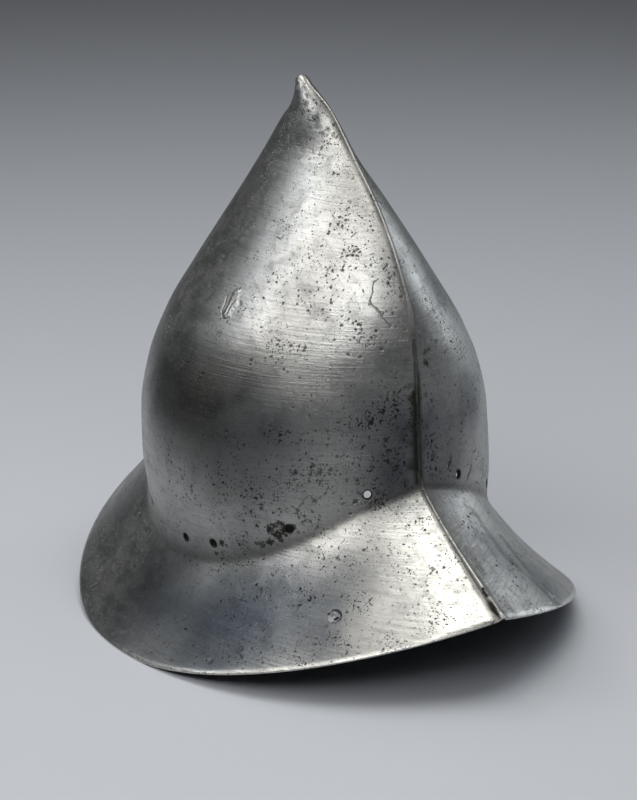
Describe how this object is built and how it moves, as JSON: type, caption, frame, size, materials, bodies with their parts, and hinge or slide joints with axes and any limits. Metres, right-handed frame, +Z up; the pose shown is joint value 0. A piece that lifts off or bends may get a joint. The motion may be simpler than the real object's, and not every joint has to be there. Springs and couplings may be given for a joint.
{
  "type": "pointed steel war hat",
  "caption": "One-piece steel war hat: pointed, ridged almond skull with a small stalk, and a wide brim that falls at the sides and sweeps up to a prow front and back.",
  "frame": {"origin": "on the ground, under the middle of the hat's bounding box, with the hat standing on the sides of its brim", "axes": "+X towards the front prow, +Y towards the wearer's left, +Z up to the stalk"},
  "size_m": [0.3501, 0.282, 0.305],
  "materials": {
    "old_steel": "old hand-raised steel, once polished, now grey and patinated, with fine horizontal scratches, dark corrosion pits, grime and a few rust-brown spots"
  },
  "bodies": {
    "root": {"helmet_shell": "old_steel"}
  },
  "joints": []
}
